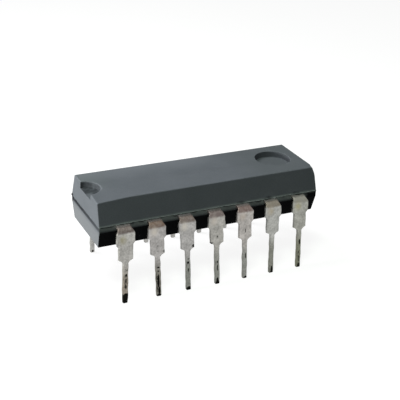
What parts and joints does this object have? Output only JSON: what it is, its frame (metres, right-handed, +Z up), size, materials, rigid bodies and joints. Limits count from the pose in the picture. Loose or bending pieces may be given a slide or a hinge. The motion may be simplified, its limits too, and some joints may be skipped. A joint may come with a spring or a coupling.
{
  "type": "dual in-line integrated circuit package",
  "caption": "Through-hole dual in-line chip: moulded epoxy body with an index notch, a round recess and two rows of formed, splayed, tinned leads.",
  "frame": {"origin": "middle of the rectangle of lead tips, on the plane that they stand on", "axes": "+X along the body away from the notch end, +Y to the back row of leads, +Z up out of the top face"},
  "size_m": [0.0192, 0.0088, 0.0082],
  "materials": {
    "epoxy": "matt moulded, silica-filled dark grey epoxy",
    "tinned_lead": "solder-dipped and dulled, with dark tarnish towards the tips",
    "pad_metal": "spot-plated stamped strip",
    "die_adhesive": "silver-filled adhesive",
    "silicon": "polished silicon",
    "bond_gold": "drawn gold wire"
  },
  "bodies": {
    "root": {"package_body": "epoxy", "lead_1": "tinned_lead", "lead_2": "tinned_lead", "lead_3": "tinned_lead", "lead_4": "tinned_lead", "lead_5": "tinned_lead", "lead_6": "tinned_lead", "lead_7": "tinned_lead", "lead_8": "tinned_lead", "lead_9": "tinned_lead", "lead_10": "tinned_lead", "lead_11": "tinned_lead", "lead_12": "tinned_lead", "lead_13": "tinned_lead", "lead_14": "tinned_lead", "die_pad": "pad_metal", "die_attach": "die_adhesive", "die": "silicon", "wire_1": "bond_gold", "wire_2": "bond_gold", "wire_3": "bond_gold", "wire_4": "bond_gold", "wire_5": "bond_gold", "wire_6": "bond_gold", "wire_7": "bond_gold", "wire_8": "bond_gold", "wire_9": "bond_gold", "wire_10": "bond_gold", "wire_11": "bond_gold", "wire_12": "bond_gold", "wire_13": "bond_gold", "wire_14": "bond_gold"}
  },
  "joints": []
}
